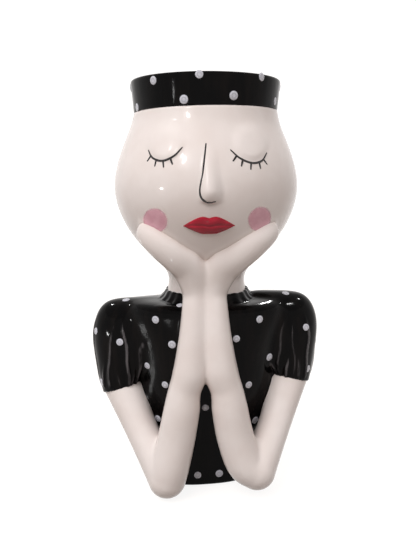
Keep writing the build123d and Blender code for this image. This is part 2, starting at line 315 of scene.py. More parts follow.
neck_bore = inner_radius(NECK_LEVEL)
neck_top = ceiling(neck_bore - BORE_INSET, NECK_LEVEL)
bowl_floor = ground(neck_bore - BORE_INSET, BOWL_LEVEL)
drain = inner_radius((neck_top + bowl_floor) / 2)
outline = [(outer_radius(shoulder_height + CORNER), shoulder_height)]
wall_height = mouth_height - shoulder_height - 2 * CORNER
for index in range(OUTER_POINTS):
    height = shoulder_height + CORNER + wall_height * index / (OUTER_POINTS - 1)
    outline.append((outer_radius(height), height))
mouth_radius = outline[-1][0]
mouth_bore = inner_radius(mouth_height - CORNER)
outline += [(mouth_radius - CORNER, mouth_height), (mouth_bore + CORNER, mouth_height)]
for index in range(BOWL_POINTS):
    share = (1 - index / (BOWL_POINTS - 1)) ** BOWL_CROWD
    height = bowl_floor + CORNER + (mouth_height - bowl_floor - 2 * CORNER) * share
    outline.append((inner_radius(height), height))
bowl_edge = outline[-1][0] - CORNER
for share in FLOOR_SHARES:
    outline.append((drain + CORNER + (bowl_edge - drain) * share, bowl_floor))
outline += [(drain + CORNER, bowl_floor), (drain, bowl_floor - CORNER), (drain, neck_top + CORNER)]
outline += [(drain + CORNER, neck_top), (neck_bore - CORNER, neck_top), (neck_bore, neck_top - CORNER)]
outline += [(neck_bore, shoulder_height + CORNER), (neck_bore + CORNER, shoulder_height), outline[0]]
head = turn_outline("head", outline, HEAD_STEPS)
apply(head, "SUBSURF", levels=1, render_levels=1)
print("head", len(head.data.polygons), "faces, bowl floor at", round(bowl_floor / MM, 1), "mm")

# %% [markdown]
# The nose and the closed lids stand up from the clay. They were modelled in the plaster, so they have no
# edges of their own. A separate nose could be joined on, but it would show a seam. Instead points of the
# face are pushed out by two soft formulas: a wedge that grows down to the tip, and a low dome on each lid.

# %% Nose and lids
NOSE_TOP = rise(100)
NOSE_TIP = rise(71.5)
NOSE_FOOT = rise(65.3)
NOSE_DEPTH = 4.3 * MM
NOSE_HALF_TOP = 3.2 * MM
NOSE_HALF_TIP = 6.6 * MM
NOSE_DRIFT = -0.4 * MM
NOSE_STRAIGHT = 0.25
NOSE_FADE = 0.25
NOSE_ROUND = 1.4
NOSE_SOFT = 0.8
NOSE_WIDER_LEFT = 0.95
NOSE_WIDER_RIGHT = 1.35
LID_RADIUS = 12.2 * MM
LID_RISE = rise(100.2)
LID_X = 24.2 * MM
LID_DEPTH = 0.9 * MM
LID_CREASE = 3.2 * MM
LID_FADE = 11 * MM
LID_EDGE = 0.4 * MM
PAINT_LEAN = (0.0145, -0.012)
PAINT_FADE = 9 * MM


def lean_paint_line(vertex):
    """Tilts the line between head and band, which was painted by hand."""
    fade = 1 - smoothstep(0, PAINT_FADE, abs(vertex.co.z - mouth_height))
    vertex.co.z += fade * (PAINT_LEAN[0] * vertex.co.x + PAINT_LEAN[1] * vertex.co.y)


def nose_relief(x, z):
    """How far the nose stands out at a place of the face."""
    if z > NOSE_TIP:
        share = min(max((NOSE_TOP - z) / (NOSE_TOP - NOSE_TIP), 0), 1)
        growth = NOSE_STRAIGHT * share + (1 - NOSE_STRAIGHT) * share ** 2
        height = NOSE_DEPTH * growth * smoothstep(0, NOSE_FADE, share)
    else:
        share = 1
        below = min((NOSE_TIP - z) / (NOSE_TIP - NOSE_FOOT), 1)
        height = NOSE_DEPTH * math.sqrt(1 - below ** 2) ** NOSE_ROUND
    half = NOSE_HALF_TOP + (NOSE_HALF_TIP - NOSE_HALF_TOP) * share
    half *= NOSE_WIDER_RIGHT if x > NOSE_DRIFT * share else NOSE_WIDER_LEFT
    across = min(abs(x - NOSE_DRIFT * share) / half, 1)
    return height * (0.5 + 0.5 * math.cos(math.pi * across)) ** NOSE_SOFT


def lid_relief(x, z):
    """How far a closed lid stands out: a crease at its lash line and a long fade towards the brow."""
    from_centre = math.hypot(abs(x) - LID_X, z - LID_RISE)
    upper = smoothstep(-LID_RADIUS, LID_RADIUS, z - LID_RISE)
    fade = LID_CREASE + (LID_FADE - LID_CREASE) * upper
    return LID_DEPTH * (1 - smoothstep(LID_RADIUS - fade, LID_RADIUS + LID_EDGE, from_centre))


for vertex in head.data.vertices:
    x, y, z = vertex.co
    if y < 0 and NOSE_FOOT < z < mouth_height - CORNER:
        if vertex.co.xy.length > outer_radius(z) - MM:
            vertex.co += vertex.normal * (nose_relief(x, z) + lid_relief(x, z))
for vertex in head.data.vertices:
    lean_paint_line(vertex)
print("nose tip", round(min(vertex.co.y for vertex in head.data.vertices) / MM, 1), "mm in front")

# %% [markdown]
# The rim band is the black ring on the mouth, flared a little with a rounded lip. The collar is a short
# stand-up ring that was pressed round the neck, with small pleats. Both are turned, and the collar's pleats
# are pushed in afterwards, because a spun piece can't have them.

# %% Rim band and collar
BAND_STEPS = 112
LIP_ROUND = 1.7 * MM
LIP_POINTS = 4
BAND_SHARES = (0.15, 0.35, 0.55, 0.75)
BAND_FLARE = 1.2
BORE_SHARES = (0.7, 0.4)
COLLAR_SIT = 4.5 * MM
COLLAR_LIP = 0.7 * MM
COLLAR_WALL = 1.3 * MM
COLLAR_FLARE = 0.5 * MM
COLLAR_EDGE = 0.4 * MM
COLLAR_TUCK = 1.2 * MM
COLLAR_SLOPE = 1.4 * MM
COLLAR_BEND = 3 * MM
COLLAR_WAVE = 0.35 * MM
COLLAR_PLEATS = 26
COLLAR_PLEAT_DEPTH = 0.32 * MM
rim_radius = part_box("rim_band")[1].x
band_height = rim_height - LIP_ROUND - mouth_height
outline = [(mouth_radius - CORNER, mouth_height), (mouth_radius, mouth_height + CORNER)]
for share in BAND_SHARES:
    radius = mouth_radius + (rim_radius - mouth_radius) * share ** BAND_FLARE
    outline.append((radius, mouth_height + band_height * share))
for centre, first in ((rim_radius - LIP_ROUND, 0), (mouth_bore + LIP_ROUND, 90)):
    for index in range(LIP_POINTS):
        turn = math.radians(first + 90 * index / (LIP_POINTS - 1))
        height = rim_height - LIP_ROUND + LIP_ROUND * math.sin(turn)
        outline.append((centre + LIP_ROUND * math.cos(turn), height))
for share in BORE_SHARES:
    outline.append((mouth_bore, mouth_height + band_height * share))
outline += [(mouth_bore, mouth_height + CORNER), (mouth_bore + CORNER, mouth_height), outline[0]]
band = turn_outline("band", outline, BAND_STEPS)
apply(band, "SUBSURF", levels=1, render_levels=1)
for vertex in band.data.vertices:
    lean_paint_line(vertex)

collar_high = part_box("collar")[1]
collar_foot = collar_high.x
collar_top = outer_radius(collar_high.z) + COLLAR_WALL
neck_at = [outer_radius(shoulder_height + CORNER) - MM, outer_radius(collar_high.z) - MM]
outline = [
    (neck_at[0], shoulder_height - COLLAR_SIT),
    (collar_foot + COLLAR_FLARE, shoulder_height - COLLAR_SIT),
    (collar_foot + COLLAR_EDGE, shoulder_height),
    (collar_foot - COLLAR_TUCK, shoulder_height + COLLAR_SLOPE),
    (collar_top + COLLAR_SLOPE, collar_high.z - COLLAR_BEND),
    (collar_top + COLLAR_FLARE, collar_high.z - COLLAR_LIP),
    (collar_top - COLLAR_EDGE, collar_high.z),
    (neck_at[1], collar_high.z),
]
outline.append(outline[0])
collar = turn_outline("collar_piece", outline, BAND_STEPS)
apply(collar, "SUBSURF", levels=2, render_levels=2)
for vertex in collar.data.vertices:
    turn = math.atan2(vertex.co.y, vertex.co.x)
    wave = math.sin(COLLAR_PLEATS * turn + 2 * math.sin(3 * turn))
    height = smoothstep(shoulder_height - MM, collar_high.z, vertex.co.z)
    vertex.co += vertex.normal * (COLLAR_PLEAT_DEPTH * wave * (1 - 0.5 * height))
    vertex.co.z += COLLAR_WAVE * math.sin(5 * turn + 1) * height
print("band", len(band.data.polygons), "collar", len(collar.data.polygons), "faces")

# %% [markdown]
# The bodice is a hollow bust under black glaze. Its sections go from the flat foot to the shoulders, so it
# is pulled as one limb, whose rings are measured on the construction model. Their corners are then filled a
# little, because a modelled chest is fuller than a row of ellipses.

# %% Bodice
BODICE_RINGS = 64
BODICE_SIDES = 128
VOXEL = 0.95 * MM
VENT_RADIUS = 9 * MM
VENT_BACK = 11 * MM
DRILL_SIDES = 48
RELAX = 0.5
CHEST_FULL = 2.45
CHEST_FROM = 0.2 * shoulder_height
CHEST_TO = 0.7 * shoulder_height
AXIS_CLEAR = 0.01
WAIST_WIDER = 9 * MM
WAIST_WIDER_AT = 52 * MM
WAIST_WIDER_SPAN = 24 * MM
FOOT_FULL = 0.7
FOOT_DEEPER = 0.1
FOOT_TURN = 0.1
FOOT_FADE = 45 * MM
BACK_DROP = (3.4 * MM, 0.8 * MM)
BACK_DEPTH = 25 * MM
BACK_RISE = (rise(-25), rise(-2))
PART_X = 45 * MM
SKIM = 0.05 * MM
NUDGE = 3 * MM
bodice_skin = skin_of(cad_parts["bodice"])


def wall_at(height, start, direction):
    """The distance from the axis to the bodice's wall at a height, along a ray that misses the pin holes."""
    level = min(max(height, SKIM), shoulder_height - SKIM)
    place = bodice_skin.ray_cast(start + Vector((NUDGE, NUDGE, level)), direction)[0]
    return abs(place.dot(direction))


def bust(low, high, reach):
    """Stations up the bust between two heights, measured from outside or, with no reach, from inside."""
    inward = -1 if reach else 1
    stations = []
    for index in range(BODICE_RINGS):
        share = (1 - math.cos(math.pi * index / (BODICE_RINGS - 1))) / 2
        height = low + (high - low) * share
        wide = wall_at(height, RIGHT * reach, RIGHT * inward)
        deep = wall_at(height, FRONT * reach, FRONT * inward)
        stations.append((UP * height, FRONT, wide, deep))
    return stations


def fill_chest(piece):
    """Fills the corners of the chest's sections, which are rounder boxes rather than ellipses."""
    for vertex in piece.data.vertices:
        height = vertex.co.z
        foot = 1 - smoothstep(0, FOOT_FADE, height)
        power = 2 + (CHEST_FULL - 2) * smoothstep(CHEST_FROM, CHEST_TO, height)
        power += FOOT_FULL * foot
        wide = abs(vertex.co.x) / wall_at(height, RIGHT * FAR, -RIGHT)
        deep = abs(vertex.co.y) / wall_at(height, FRONT * FAR, -FRONT)
        if wide + deep > AXIS_CLEAR:
            vertex.co.xy *= math.hypot(wide, deep) / (wide ** power + deep ** power) ** (1 / power)
        side = math.exp(-((height - WAIST_WIDER_AT) / WAIST_WIDER_SPAN) ** 2)
        vertex.co.x += math.copysign(WAIST_WIDER * side * min(wide, 1) ** 2, vertex.co.x)
        vertex.co.y = vertex.co.y * (1 + FOOT_DEEPER * foot) + vertex.co.x * FOOT_TURN * foot
        drop = BACK_DROP[0] + (BACK_DROP[1] - BACK_DROP[0]) * smoothstep(-PART_X, PART_X, vertex.co.x)
        vertex.co.z -= drop * smoothstep(0, BACK_DEPTH, vertex.co.y) * smoothstep(*BACK_RISE, height)


def cut_out(piece, tool):
    """Takes one closed piece out of another."""
    apply(piece, "BOOLEAN", object=tool, operation="DIFFERENCE", solver="MANIFOLD")
    bpy.data.objects.remove(tool)


def even_skin(piece, voxel, rounds):
    """Rebuilds a closed piece with an even skin and relaxes it."""
    apply(piece, "REMESH", mode="VOXEL", voxel_size=voxel)
    apply(piece, "SMOOTH", factor=RELAX, iterations=rounds)


def cut_round(piece, radius, y, low, high):
    """Takes an upright round hole out of a piece."""
    begin()
    bpy.ops.mesh.primitive_cylinder_add(
        vertices=DRILL_SIDES, radius=radius, depth=high - low, location=(0, y, (low + high) / 2))
    bpy.ops.object.transform_apply(location=True)
    cut_out(piece, take_name("drill"))


bodice = pull_limb("bust", bust(0, shoulder_height, FAR), BODICE_SIDES)
fill_chest(bodice)
print("bust", len(bodice.data.polygons), "faces")

# %% [markdown]
# Each sleeve is a puffed cap that is drawn in at its hem, with folds that run up from the hem. It is pulled
# as a limb from hem to shoulder. The hem is then tilted, and the folds are pushed out as narrow ridges that
# wander a little, because pressed clay never folds evenly.

# %% Sleeves
SLEEVE_SECTIONS = [
    (0, 13.8, 13.8, 13.8), (0.06, 14.4, 16.5, 14.6), (0.15, 15.5, 21, 16), (0.3, 17, 26, 17.8),
    (0.5, 18.5, 29, 19), (0.66, 18.4, 30, 18.9), (0.79, 16.6, 31, 17.4), (0.89, 13.6, 31, 14.8),
    (0.955, 9.8, 30, 11), (0.987, 6, 28, 6.8), (1, 1.5, 24, 2.5),
]
SLEEVE_RINGS = 48
SLEEVE_SIDES = 96
SLEEVE_X = 57
SLEEVE_SHIFT = -0.8
SLEEVE_BACK = 3
SLEEVE_TOP_RISE = 1.4
SHOULDER_LEAN = 1.8
HEM_INSET = 1.7
HEM_FORWARD = 7
HEM_RISE = -56.6
HEM_LEAN = 2.4
HEM_SIDE_TILT = 14
HEM_TILT_LEAN = 1.5
HEM_FRONT_TILT = 1.5
HEM_TILT_REACH = 0.55
FOLD_TURNS = {
    -1: [-1.25, -0.85, -0.55, -0.22, 0.12, 0.5, 0.95, 1.6, 2.4, 3.3, 4.2],
    1: [-1.15, -0.8, -0.5, -0.26, 0.02, 0.34, 0.8, 1.5, 2.3, 3.2, 4.1],
}
FOLD_HEIGHT = 1.1 * MM
FOLD_WIDTH = 1.15 * MM
FOLD_START = (-0.02, 0.06)
FOLD_FADE = (0.18, 0.1)
SLEEVE_FOLD_RADIUS = 17 * MM


def shoulder_top(side):
    height = rise(SLEEVE_TOP_RISE + side * SHOULDER_LEAN)
    return Vector(((side * SLEEVE_X + SLEEVE_SHIFT) * MM, SLEEVE_BACK * MM, height))


def hem_centre(side):
    height = rise(HEM_RISE + side * HEM_LEAN)
    return Vector(((side * (SLEEVE_X - HEM_INSET) + SLEEVE_SHIFT) * MM, -HEM_FORWARD * MM, height))


def fold_ridges(side, turn, share, radius):
    """The height of the folds at a turn round the sleeve and a share of its length."""
    height = 0
    for index, place in enumerate(FOLD_TURNS[side]):
        reach = 0.5 + 0.28 * math.sin(3.1 * index + side)
        wander = 0.1 * math.sin(4 * share + 1.7 * index + side) + 0.03 * math.sin(17 * share + index)
        away = math.remainder(turn - place - wander, math.tau) * radius / FOLD_WIDTH
        strength = 0.78 + 0.22 * math.sin(2.3 * index + 1)
        fade = 1 - smoothstep(reach - FOLD_FADE[0], reach + FOLD_FADE[1], share)
        height += strength * math.exp(-away ** 2) * fade
    return FOLD_HEIGHT * height * smoothstep(*FOLD_START, share)


def sleeve_share(side, place):
    """A place's offset from the hem's centre, and its share of the way from hem to shoulder."""
    along = shoulder_top(side) - hem_centre(side)
    local = place - hem_centre(side)
    return local, local.dot(along) / along.length_squared


def sleeve_cap(side, name):
    """A plain cap with its hem tilted."""
    hem = hem_centre(side)
    along = shoulder_top(side) - hem
    sections = smooth_path([Vector(section) for section in SLEEVE_SECTIONS], SLEEVE_RINGS)
    stations = []
    for share, outer, inner, half_depth in sections:
        stations.append((hem + along * share, FRONT, (outer + inner) / 2 * MM, half_depth * MM))
    piece = pull_limb(name, stations, SLEEVE_SIDES)
    tilt = math.tan(math.radians(HEM_SIDE_TILT - side * HEM_TILT_LEAN))
    front_tilt = math.tan(math.radians(HEM_FRONT_TILT))
    for vertex in piece.data.vertices:
        local, share = sleeve_share(side, vertex.co)
        _, outer, inner, _ = min(sections, key=lambda section: abs(section[0] - share))
        vertex.co.x += side * (outer - inner) / 2 * MM
        low = 1 - smoothstep(0, HEM_TILT_REACH, share)
        vertex.co -= along.normalized() * low * (tilt * side * local.x + front_tilt * local.y)
    return piece


sleeves = both(sleeve_cap, "_cap")
print("sleeves", [len(piece.data.polygons) for piece in sleeves.values()], "faces")

# %% [markdown]
# On the real piece no line shows between sleeve and bust: the clay was smoothed over. So bust and caps are
# united by a voxel remesh, relaxed where they meet, and only then parted again by two planes, which leaves
# three closed pieces with one flowing skin. The folds are raised on it before the parting.

# %% One flowing skin
BLEND_NEAR = 8 * MM
BLEND_FAR = 20 * MM
BLEND_ROUNDS = 220
BLEND_TOP = 0.45
BLEND_HEM = (6 * MM, 20 * MM)
BLEND_SHOULDER = (rise(-14), rise(-3))
TOP_ROUNDS = 4
PART_CLEAR = 4 * MM
CAP_NEAR = 2 * MM
CAP_REACH = 6 * MM
HEM_CLEAR = 0.004
HOLLOW_INSET = 6 * MM
BLEND = "blend"
CREST = "crest"


def gap_to(skin, place, reach):
    """The distance to a surface, or the reach where it is farther."""
    distance = skin.find_nearest(place, reach)[3]
    return reach if distance is None else distance


def side_of(place):
    return 1 if place.x > 0 else -1


def copy_of(piece, name):
    pick(piece)
    bpy.ops.object.duplicate()
    return take_name(name)


def relax(piece, weight_at, rounds):
    """Smooths a piece, as much at each point as the weight there says."""
    group = piece.vertex_groups.new(name=BLEND)
    for vertex in piece.data.vertices:
        weight = weight_at(vertex.co)
        if weight > 0:
            group.add([vertex.index], weight, "REPLACE")
    apply(piece, "SMOOTH", factor=RELAX, iterations=rounds, vertex_group=BLEND)
    piece.vertex_groups.clear()


def slice_off(piece, x, keep):
    """Keeps one side of a piece at an upright plane and closes the cut."""
    pick(piece)
    bpy.ops.object.mode_set(mode="EDIT")
    bpy.ops.mesh.select_all(action="SELECT")
    bpy.ops.mesh.bisect(
        plane_co=(x, 0, 0), plane_no=(keep, 0, 0), use_fill=True, clear_inner=True, threshold=SEAM_MERGE)
    close_seams()
    bpy.ops.object.mode_set(mode="OBJECT")


caps = {side: skin_of(piece) for side, piece in sleeves.items()}
bust_form = skin_of(bodice)
top = join("top", [bodice, sleeves[-1], sleeves[1]])
even_skin(top, VOXEL, TOP_ROUNDS)


def sleeve_blend(place):
    """1 where bust and sleeve meet, fading away from there and towards the hem and the shoulder's top."""
    side = side_of(place)
    reach = max(gap_to(bust_form, place, BLEND_FAR), gap_to(caps[side], place, BLEND_FAR))
    weight = 1 - smoothstep(BLEND_NEAR, BLEND_FAR, reach)
    weight *= 1 - BLEND_TOP * smoothstep(*BLEND_SHOULDER, place.z)
    return weight * smoothstep(*BLEND_HEM, place.z - hem_centre(side).z)


relax(top, sleeve_blend, BLEND_ROUNDS)
crests = top.data.attributes.new(CREST, "FLOAT", "POINT").data
for vertex in top.data.vertices:
    side = side_of(vertex.co)
    local, share = sleeve_share(side, vertex.co)
    on_cap = 1 - smoothstep(CAP_NEAR, CAP_REACH, gap_to(caps[side], vertex.co, CAP_REACH))
    if HEM_CLEAR < share < 1 and on_cap > 0:
        turn = math.atan2(side * local.x, -local.y)
        height = fold_ridges(side, turn, share, SLEEVE_FOLD_RADIUS) * on_cap
        vertex.co += vertex.normal * height
        crests[vertex.index].value = height / FOLD_HEIGHT
sleeves = both(lambda side, name: copy_of(top, name), "_cap")
bodice = top
for side in SIDES:
    slice_off(sleeves[side], side * PART_X, side)
    slice_off(bodice, side * PART_X, -side)
hollow_low = bodice_skin.ray_cast(UP * shoulder_height / 2, -UP)[0].z
hollow_high = bodice_skin.ray_cast(UP * shoulder_height / 2 + ray_side * (neck_bore + HOLLOW_INSET), UP)[0].z
hollow = pull_limb("hollow", bust(hollow_low + SKIM, hollow_high - SKIM, 0), BODICE_SIDES)
for side in SIDES:
    slice_off(hollow, side * (PART_X - PART_CLEAR), -side)
cut_out(bodice, hollow)
cut_round(bodice, VENT_RADIUS, VENT_BACK, -hollow_low, 2 * hollow_low)
cut_round(bodice, neck_bore, 0, hollow_high - hollow_low, NECK_LEVEL)
pick(bodice)
take_name("bust")
print("top", [len(piece.data.polygons) for piece in (bodice, *sleeves.values())], "faces")

# %% [markdown]
# The arms are solid castings: an upper arm from the sleeve, a rounded elbow on the table, a forearm and a
# mitten hand on the jaw. Each is two limbs and a ball at the elbow. They could be cut to each other by
# booleans, but clay flows together, so a voxel remesh unites them and relaxing rounds the crook.

# %% Arms
SEAM_X = -2.2
ELBOW = {-1: (-26.9, -42, 13.2), 1: (29.7, -42, 17.4)}
ELBOW_RADIUS = 12
ELBOW_THINNER = 0.2
BALL_SEGMENTS = 48
BALL_RINGS = 32
FOREARM = [
    (11.8, 6.6, -41, 40), (11.3, 3.7, -41, 58), (10.6, 3.3, -40.9, 66), (10.1, 2.6, -40.6, 72),
    (10.4, 0.6, -40.4, 77), (10.8, -1.2, -40.1, 81.5), (10.5, -1.8, -39.8, 87), (9.1, -2, -38.2, 104),
    (8.1, -2, -35.6, 121), (8, -2, -33.6, 132),
]
HEEL_RADIUS = 12.1
HEEL = {-1: (-24.8, -42, 21.5), 1: (22.2, -42, 23)}
HAND = [
    (15, 24.8, 6.5, 10.6, 7.5), (24, 32.1, 5.4, 9.1, 6.9), (32, 38.2, 4.4, 8.4, 6.2),
    (38.6, 42.6, 3.3, 7.6, 5.5), (43.8, 45.6, 2.4, 6.8, 4.8), (47.2, 47.3, 1.9, 5.7, 4.1),
    (49.2, 48.1, 1.6, 4, 3), (49.9, 48.4, 1.4, 1.4, 1.3),
]
HAND_TURN = 50
HEM_ARM_RADIUS = 12.9
UPPER_RADIUS = 10.5
UPPER_OUT = 1.5
SPIGOT = 8
ARM_RINGS = 72
ARM_SIDES = 64
ARM_VOXEL = 0.8 * MM
ARM_ROUNDS = 10


def on_jaw(side, turn, height, standoff):
    """A point off the jaw, and the direction that points away from it."""
    angle = math.radians(side * turn)
    outward = Vector((math.sin(angle), -math.cos(angle), 0))
    return outward * (outer_radius(height) + standoff) + UP * height, outward


def arm(side, name):
    elbow = Vector(ELBOW[side]) * MM
    thin = (ELBOW_RADIUS - ELBOW_THINNER) * MM
    heel = HEEL_RADIUS * MM
    stations = [(elbow, FRONT, thin, thin), (Vector(HEEL[side]) * MM, FRONT, heel, heel)]
    for radius, gap, y, height in FOREARM:
        centre = Vector((SEAM_X + side * (radius + gap), y, height)) * MM
        stations.append((centre, FRONT, radius * MM, radius * MM))
    for turn, height, standoff, half_width, half_depth in HAND:
        centre, outward = on_jaw(side, turn, rise(height), standoff * MM)
        centre.x += SEAM_X * MM * max(1 - turn / HAND_TURN, 0)
        stations.append((centre, outward, half_width * MM, half_depth * MM))
    lower = pull_limb("forearm", fill_in(stations, ARM_RINGS), ARM_SIDES)
    hem = hem_centre(side)
    up_arm = (hem - elbow).normalized()
    middle = UPPER_RADIUS * MM
    wide = HEM_ARM_RADIUS * MM
    stations = [
        (elbow, FRONT, thin, thin),
        (elbow.lerp(hem, 0.5) + Vector((side * UPPER_OUT * MM, 0, 0)), FRONT, middle, middle),
        (hem, FRONT, wide, wide),
        (hem + up_arm * SPIGOT * MM, FRONT, wide, wide),
    ]
    upper = pull_limb("upper_arm", fill_in(stations, ARM_RINGS // 2), ARM_SIDES)
    begin()
    bpy.ops.mesh.primitive_uv_sphere_add(
        segments=BALL_SEGMENTS, ring_count=BALL_RINGS, radius=ELBOW_RADIUS * MM, location=elbow)
    bpy.ops.object.transform_apply(location=True)
    piece = join(name, [lower, upper, take_name("elbow")])
    even_skin(piece, ARM_VOXEL, ARM_ROUNDS)
    return piece


arms = both(arm, "_limb")
print("arms", [len(piece.data.polygons) for piece in arms.values()], "faces")

# %% [markdown]
# Leather-hard pieces are luted: slip is brushed into the seam and smoothed with a wet finger. Fillets on
# such free seams are out of reach of a bevel, so each point near a neighbour is moved out by the blend that
# two soft solids would have there. The closeness is kept as an attribute, to paint shade into the seams.

# %% Luted seams
SEAM = "seam"
SEAM_OVERLAP = 1.2 * MM
JAW_LUTE = 5 * MM
THIN_LUTE = 2 * MM


def mark_seam(piece, near):
    """Keeps how close each point is to a neighbour, for the painted shade in the seams."""
    found = piece.data.attributes.get(SEAM) or piece.data.attributes.new(SEAM, "FLOAT", "POINT")
    for index, (close, _) in near.items():
        found.data[index].value = max(found.data[index].value, close)


def closeness(piece, skin, reach):
    """For each point near a neighbour: how close it is, and the neighbour's direction out."""
    near = {}
    for vertex in piece.data.vertices:
        place, normal, _, distance = skin.find_nearest(vertex.co, reach)
        if place is None:
            continue
        outside = (vertex.co - place).dot(normal) >= 0
        if outside or distance < SEAM_OVERLAP:
            near[vertex.index] = (1 - distance / reach if outside else 1, normal)
    return near


def lute(first, second, reach):
    """Blends two pieces softly into each other where they come within reach."""
    near_second = closeness(first, skin_of(second), reach)
    near_first = closeness(second, skin_of(first), reach)
    for piece, near in ((first, near_second), (second, near_first)):
        normals = {index: piece.data.vertices[index].normal.copy() for index in near}
        for index, (close, normal) in near.items():
            outward = (normals[index] + normal).normalized()
            piece.data.vertices[index].co += outward * (reach * close ** 2 / 4)
        mark_seam(piece, near)


for side in SIDES:
    lute(arms[side], head, JAW_LUTE)
    lute(arms[side], bodice, THIN_LUTE)
lute(collar, bodice, THIN_LUTE)
print("seams luted")

# %% [markdown]
# The forearms and hands lean on each other, and there too the clay was smoothed over. They are united as
# the bust and the sleeves were: one skin, relaxed above the arch along the line where they meet, and then
# parted by the plane between them.

# %% Arms in one skin
PAIR_NEAR = 3 * MM
PAIR_FAR = 9 * MM
PAIR_ROUNDS = 70
PAIR_SKIN_ROUNDS = 2
ARCH = (84 * MM, 95 * MM)
limbs = [skin_of(piece) for piece in arms.values()]
pair = join("pair", list(arms.values()))
even_skin(pair, ARM_VOXEL, PAIR_SKIN_ROUNDS)


def pair_blend(place):
    """1 where the arms lean on each other, fading away from there and towards the arch below."""
    reach = max(gap_to(skin, place, PAIR_FAR) for skin in limbs)
    return (1 - smoothstep(PAIR_NEAR, PAIR_FAR, reach)) * smoothstep(*ARCH, place.z)


relax(pair, pair_blend, PAIR_ROUNDS)
arms = both(lambda side, name: copy_of(pair, name), "_limb")
bpy.data.objects.remove(pair)
for side in SIDES:
    slice_off(arms[side], SEAM_X * MM, side)
    mark_seam(arms[side], closeness(arms[side], skin_of(head), JAW_LUTE))
print("arms", [len(piece.data.polygons) for piece in arms.values()], "faces")

# %% [markdown]
# The lips are raised and softly pillowed, with a bow on top and a shallow line where they meet. They could
# be an extruded outline, but that leaves a hard edge. A limb along the mouth, whose rings grow and shrink
# with the outline, gives the pillow at once, and the mouth line is pressed in afterwards.

# %% Lips
LIP_HALF = 14.7
LIP_RISE = 52.1
LIP_PEAK_X = 3.7
LIP_PEAK = 6.1
LIP_BOW = 4.9
LIP_DROP = 5.2
LIP_FLAT = 3.5
LIP_DEPTH = 2.3
LIP_FULL = 5.2
LIP_THIN = 0.25
LIP_PILLOW = 0.7
LIP_TOP_CURVE = 1.25
LIP_BOTTOM_CURVE = 1.35
LIP_LINE_DEPTH = 0.45 * MM
LIP_LINE_WIDTH = 0.7 * MM
LIP_LINE_FADE = (0.75, 0.98)
LIP_STATIONS = 25
LIP_SIDES = 28
head_form = skin_of(head)


def on_face(x, z):
    """The place and outward direction of the face, seen from the front."""
    place, normal, _, _ = head_form.ray_cast(Vector((x, -FAR, z)), -FRONT)
    return place, normal


def lip_top(x):
    if abs(x) < LIP_PEAK_X:
        return LIP_BOW + (LIP_PEAK - LIP_BOW) * smoothstep(0, LIP_PEAK_X, abs(x))
    share = (abs(x) - LIP_PEAK_X) / (LIP_HALF - LIP_PEAK_X)
    return LIP_PEAK * (1 - share ** LIP_TOP_CURVE)


def lip_bottom(x):
    share = max(abs(x) - LIP_FLAT, 0) / (LIP_HALF - LIP_FLAT)
    return -LIP_DROP * (1 - share ** LIP_BOTTOM_CURVE)


def mouth_line(x):
    """The height of the line where the lips meet, which dips below the bow and at the corners."""
    return 0.5 - 0.7 * math.exp(-(x / 3) ** 2) - 0.5 * (x / LIP_HALF) ** 2


stations = []
for index in range(LIP_STATIONS):
    x = -LIP_HALF * math.cos(math.pi * index / (LIP_STATIONS - 1))
    top, bottom = lip_top(x), lip_bottom(x)
    half = max((top - bottom) / 2, LIP_THIN)
    centre, normal = on_face(x * MM, rise(LIP_RISE + (top + bottom) / 2))
    depth = LIP_DEPTH * (half / LIP_FULL) ** LIP_PILLOW
    stations.append((centre, normal, half * MM, depth * MM))
lips = pull_limb("mouth", stations, LIP_SIDES)
apply(lips, "SUBSURF", levels=2, render_levels=2)
for vertex in lips.data.vertices:
    x = vertex.co.x / MM
    away = (vertex.co.z - rise(LIP_RISE + mouth_line(x))) / LIP_LINE_WIDTH
    fade = 1 - smoothstep(*LIP_LINE_FADE, abs(x) / LIP_HALF)
    vertex.co.y += LIP_LINE_DEPTH * math.exp(-away ** 2) * fade
print("lips", len(lips.data.polygons), "faces")

# %% [markdown]
# The eyes and the nose are brush lines of black enamel, a little raised and tapered where the brush was
# lifted. Curves with a bevel could do it, but a limb also takes a different width at each station. The
# lines are given by a few points on the face, and every station is dropped onto the surface.

# %% Brush lines
STROKE_STEP = 0.7 * MM
STROKE_DEPTH = 0.32 * MM
STROKE_FULL = 0.3
STROKE_LEAST = 6
STROKE_SIDES = 10


def stroke(points, widths):
    """A raised brush line through points of (x, rise) in millimetres, with a half width at each share."""
    corners = [Vector((x * MM, rise(height))) for x, height in points]
    length = sum((end - start).length for start, end in zip(corners, corners[1:]))
    count = max(int(length / STROKE_STEP), STROKE_LEAST)
    stations = []
    for index, (x, z) in enumerate(smooth_path(corners, count)):
        share = index / (count - 1) * (len(widths) - 1)
        start = min(int(share), len(widths) - 2)
        half = widths[start] + (widths[start + 1] - widths[start]) * (share - start)
        place, normal = on_face(x, z)
        stations.append((place, normal, half * MM, STROKE_DEPTH * min(1, half / STROKE_FULL)))
    line = pull_limb("line", stations, STROKE_SIDES)
    apply(line, "SUBSURF", levels=1, render_levels=1)
    return line


